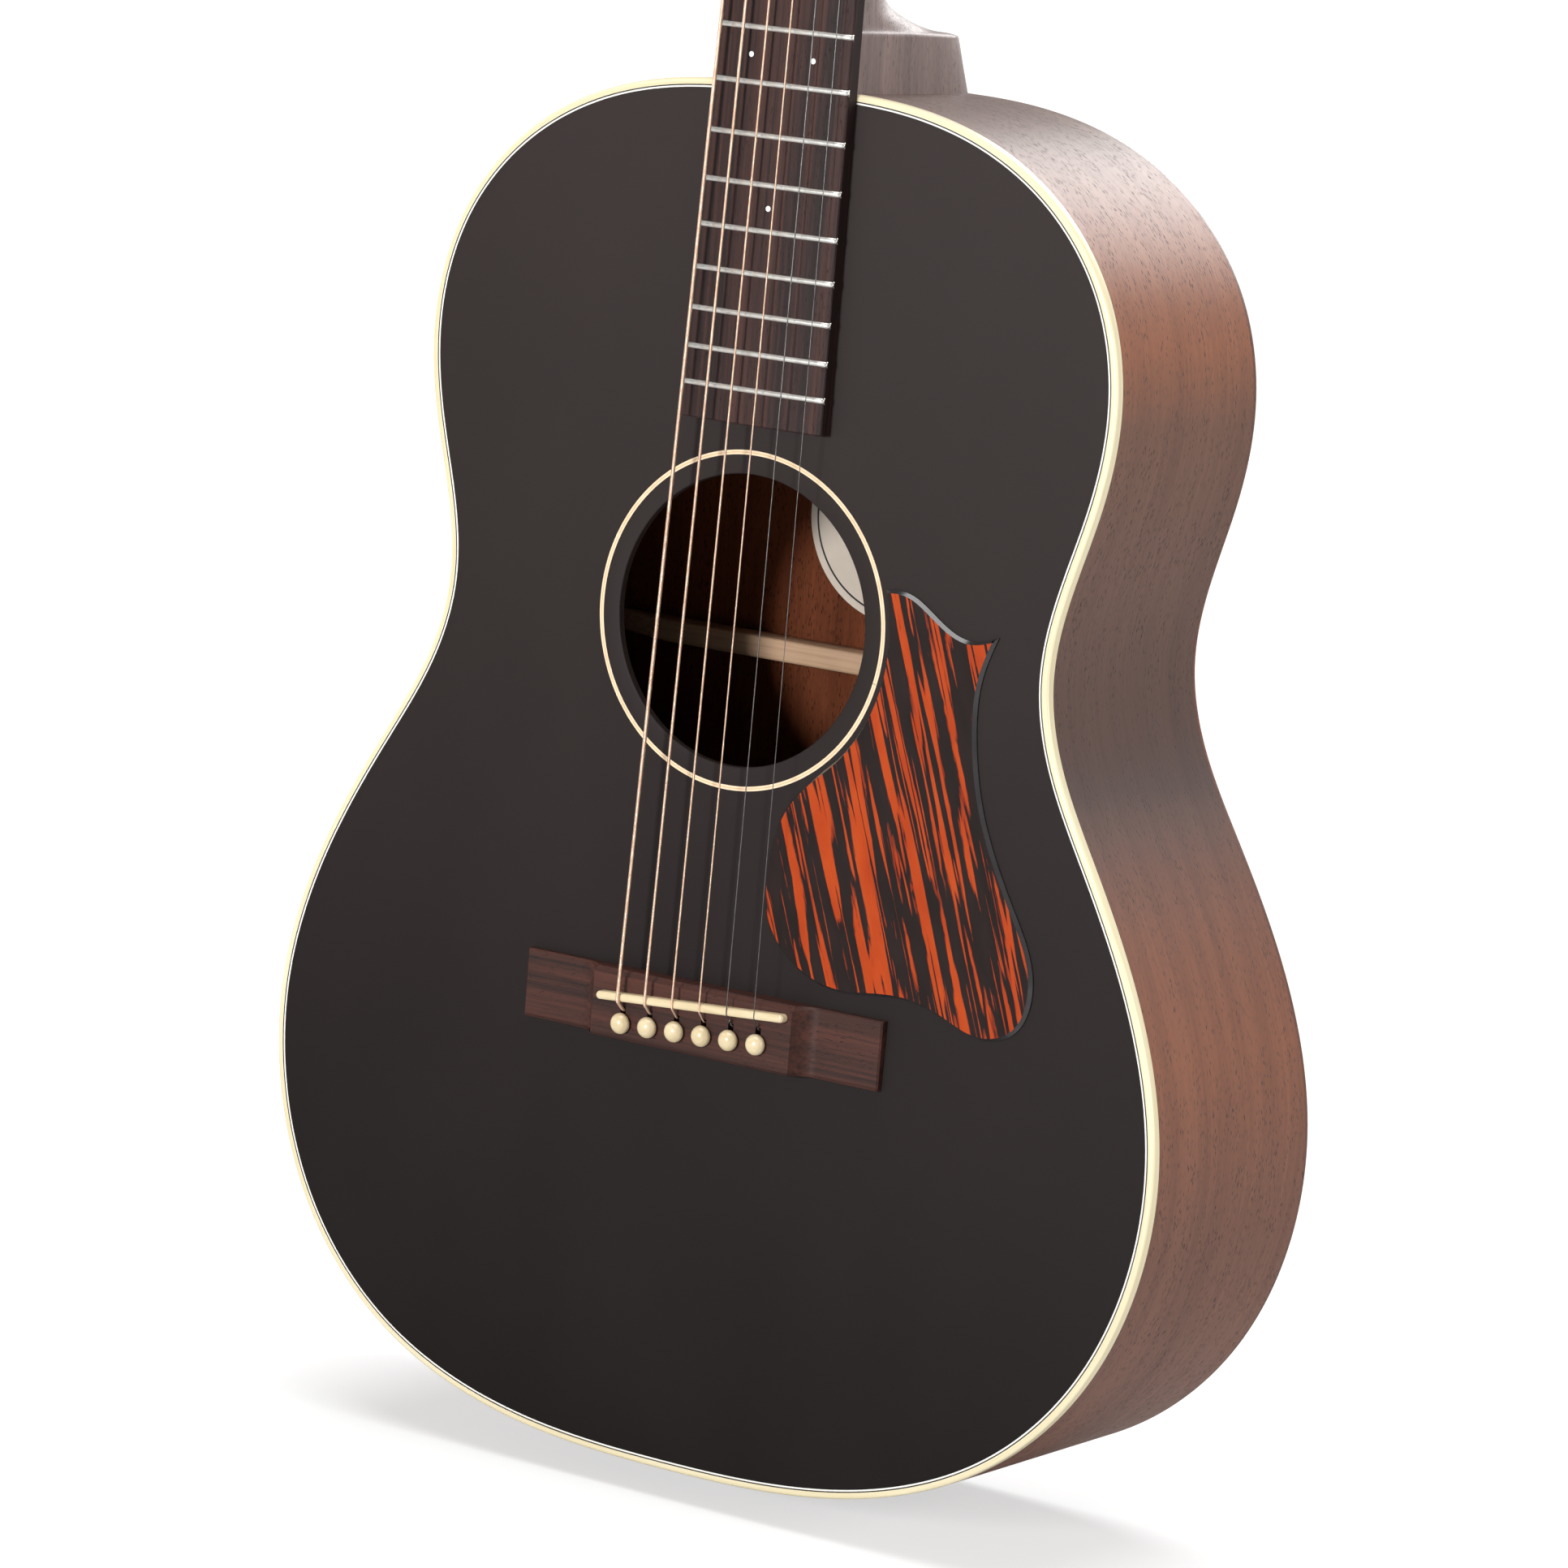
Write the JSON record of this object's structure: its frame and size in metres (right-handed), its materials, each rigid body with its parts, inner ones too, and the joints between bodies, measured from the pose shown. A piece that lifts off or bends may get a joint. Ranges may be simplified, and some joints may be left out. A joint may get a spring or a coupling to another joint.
{
  "type": "acoustic guitar",
  "caption": "Slope-shouldered steel-string acoustic guitar with a black top, mahogany body and neck, striped pickguard, pinned bridge and open-backed tuners.",
  "frame": {"origin": "front of the nut on the centre line, in the plane of the soundboard, where a hanger's yoke holds the neck", "axes": "+Z along the neck to the headstock, -Y out of the soundboard, +X to the treble side"},
  "size_m": [0.3678, 0.1289, 0.9904],
  "materials": {
    "black_top": "satin black lacquer over spruce",
    "mahogany_body": "satin, open-pored mahogany",
    "mahogany_neck": "satin, dark-stained mahogany",
    "mahogany_inside": "bare mahogany",
    "spruce_brace": "bare spruce",
    "hardwood_inside": "bare maple",
    "rosewood": "oiled rosewood",
    "black_veneer": "satin black veneer",
    "cream_binding": "cream plastic, satin",
    "cream_button": "cream plastic, gloss",
    "black_plastic": "black plastic",
    "firestripe": "orange and black striped plastic",
    "bone": "cream bone, polished",
    "nickel": "nickel plate",
    "steel": "plain steel",
    "plain_steel_string": "plain steel wire",
    "bronze_string": "bronze-wound wire"
  },
  "bodies": {
    "root": {"soundboard": "black_top", "back": "mahogany_body", "rib_bass": "mahogany_body", "rib_treble": "mahogany_body", "binding": "cream_binding", "rosette": "cream_binding", "lining_top_bass": "mahogany_inside", "lining_top_treble": "mahogany_inside", "lining_back_bass": "mahogany_inside", "lining_back_treble": "mahogany_inside", "neck_block": "mahogany_inside", "tail_block": "mahogany_inside", "x_brace_1": "spruce_brace", "x_brace_2": "spruce_brace", "transverse_brace": "spruce_brace", "tone_bar_upper": "spruce_brace", "tone_bar_lower": "spruce_brace", "back_brace_1": "spruce_brace", "back_brace_2": "spruce_brace", "back_brace_3": "spruce_brace", "back_brace_4": "spruce_brace", "back_strip": "spruce_brace", "bridge_plate": "hardwood_inside", "bridge": "rosewood", "saddle": "bone", "pickguard": "firestripe", "neck": "mahogany_neck", "fingerboard": "rosewood", "nut": "bone", "truss_rod": "steel", "head_plate": "black_veneer", "truss_rod_cover": "black_veneer", "tuner_plate_bass": "nickel", "tuner_plate_treble": "nickel", "string_1": "plain_steel_string", "string_2": "plain_steel_string", "string_3": "bronze_string", "string_4": "bronze_string", "string_5": "bronze_string", "string_6": "bronze_string"},
    "button_1": {"tuner_button_1": "cream_button"},
    "post_1": {"tuner_post_1": "nickel"},
    "button_2": {"tuner_button_2": "cream_button"},
    "post_2": {"tuner_post_2": "nickel"},
    "button_3": {"tuner_button_3": "cream_button"},
    "post_3": {"tuner_post_3": "nickel"},
    "button_4": {"tuner_button_4": "cream_button"},
    "post_4": {"tuner_post_4": "nickel"},
    "button_5": {"tuner_button_5": "cream_button"},
    "post_5": {"tuner_post_5": "nickel"},
    "button_6": {"tuner_button_6": "cream_button"},
    "post_6": {"tuner_post_6": "nickel"},
    "pin_1": {"bridge_pin_1": "bone"},
    "pin_2": {"bridge_pin_2": "bone"},
    "pin_3": {"bridge_pin_3": "bone"},
    "pin_4": {"bridge_pin_4": "bone"},
    "pin_5": {"bridge_pin_5": "bone"},
    "pin_6": {"bridge_pin_6": "bone"},
    "end_pin": {"end_pin": "black_plastic"},
    "rod_nut": {"truss_rod_nut": "steel"}
  },
  "joints": [
    {"name": "button_1_turn", "type": "hinge", "parent": "root", "child": "button_1", "pos_m": [0.0232, 0.02866, 0.04194], "axis": [0.999, -0.0113, -0.0421], "continuous": true},
    {"name": "post_1_turn", "type": "hinge", "parent": "root", "child": "post_1", "pos_m": [0.0236, 0.01346, 0.05553], "axis": [0, -0.9659, 0.2588], "continuous": true},
    {"name": "button_2_turn", "type": "hinge", "parent": "root", "child": "button_2", "pos_m": [0.02477, 0.03797, 0.07668], "axis": [0.999, -0.0113, -0.0421], "continuous": true},
    {"name": "post_2_turn", "type": "hinge", "parent": "root", "child": "post_2", "pos_m": [0.02517, 0.02277, 0.09027], "axis": [0, -0.9659, 0.2588], "continuous": true},
    {"name": "button_3_turn", "type": "hinge", "parent": "root", "child": "button_3", "pos_m": [0.02634, 0.04728, 0.11142], "axis": [0.999, -0.0113, -0.0421], "continuous": true},
    {"name": "post_3_turn", "type": "hinge", "parent": "root", "child": "post_3", "pos_m": [0.02674, 0.03208, 0.12501], "axis": [0, -0.9659, 0.2588], "continuous": true},
    {"name": "button_4_turn", "type": "hinge", "parent": "root", "child": "button_4", "pos_m": [-0.02634, 0.04728, 0.11142], "axis": [-0.999, -0.0113, -0.0421], "continuous": true},
    {"name": "post_4_turn", "type": "hinge", "parent": "root", "child": "post_4", "pos_m": [-0.02674, 0.03208, 0.12501], "axis": [0, -0.9659, 0.2588], "continuous": true},
    {"name": "button_5_turn", "type": "hinge", "parent": "root", "child": "button_5", "pos_m": [-0.02477, 0.03797, 0.07668], "axis": [-0.999, -0.0113, -0.0421], "continuous": true},
    {"name": "post_5_turn", "type": "hinge", "parent": "root", "child": "post_5", "pos_m": [-0.02517, 0.02277, 0.09027], "axis": [0, -0.9659, 0.2588], "continuous": true},
    {"name": "button_6_turn", "type": "hinge", "parent": "root", "child": "button_6", "pos_m": [-0.0232, 0.02866, 0.04194], "axis": [-0.999, -0.0113, -0.0421], "continuous": true},
    {"name": "post_6_turn", "type": "hinge", "parent": "root", "child": "post_6", "pos_m": [-0.0236, 0.01346, 0.05553], "axis": [0, -0.9659, 0.2588], "continuous": true},
    {"name": "bridge_pin_1_pull", "type": "slide", "parent": "root", "child": "pin_1", "axis": [0, -1, 0], "range_m": [0, 0.024]},
    {"name": "bridge_pin_2_pull", "type": "slide", "parent": "root", "child": "pin_2", "axis": [0, -1, 0], "range_m": [0, 0.024]},
    {"name": "bridge_pin_3_pull", "type": "slide", "parent": "root", "child": "pin_3", "axis": [0, -1, 0], "range_m": [0, 0.024]},
    {"name": "bridge_pin_4_pull", "type": "slide", "parent": "root", "child": "pin_4", "axis": [0, -1, 0], "range_m": [0, 0.024]},
    {"name": "bridge_pin_5_pull", "type": "slide", "parent": "root", "child": "pin_5", "axis": [0, -1, 0], "range_m": [0, 0.024]},
    {"name": "bridge_pin_6_pull", "type": "slide", "parent": "root", "child": "pin_6", "axis": [0, -1, 0], "range_m": [0, 0.024]},
    {"name": "end_pin_pull", "type": "slide", "parent": "root", "child": "end_pin", "axis": [0, 0, -1], "range_m": [0, 0.026]},
    {"name": "truss_rod_nut_turn", "type": "hinge", "parent": "root", "child": "rod_nut", "pos_m": [0, 0.0052, 0.0034], "axis": [0, 0, 1], "range_deg": [-180, 180]}
  ],
  "couplings": [
    {"joint": "post_1_turn", "follows": "button_1_turn", "ratio": -0.0625},
    {"joint": "post_2_turn", "follows": "button_2_turn", "ratio": -0.0625},
    {"joint": "post_3_turn", "follows": "button_3_turn", "ratio": -0.0625},
    {"joint": "post_4_turn", "follows": "button_4_turn", "ratio": 0.0625},
    {"joint": "post_5_turn", "follows": "button_5_turn", "ratio": 0.0625},
    {"joint": "post_6_turn", "follows": "button_6_turn", "ratio": 0.0625}
  ]
}
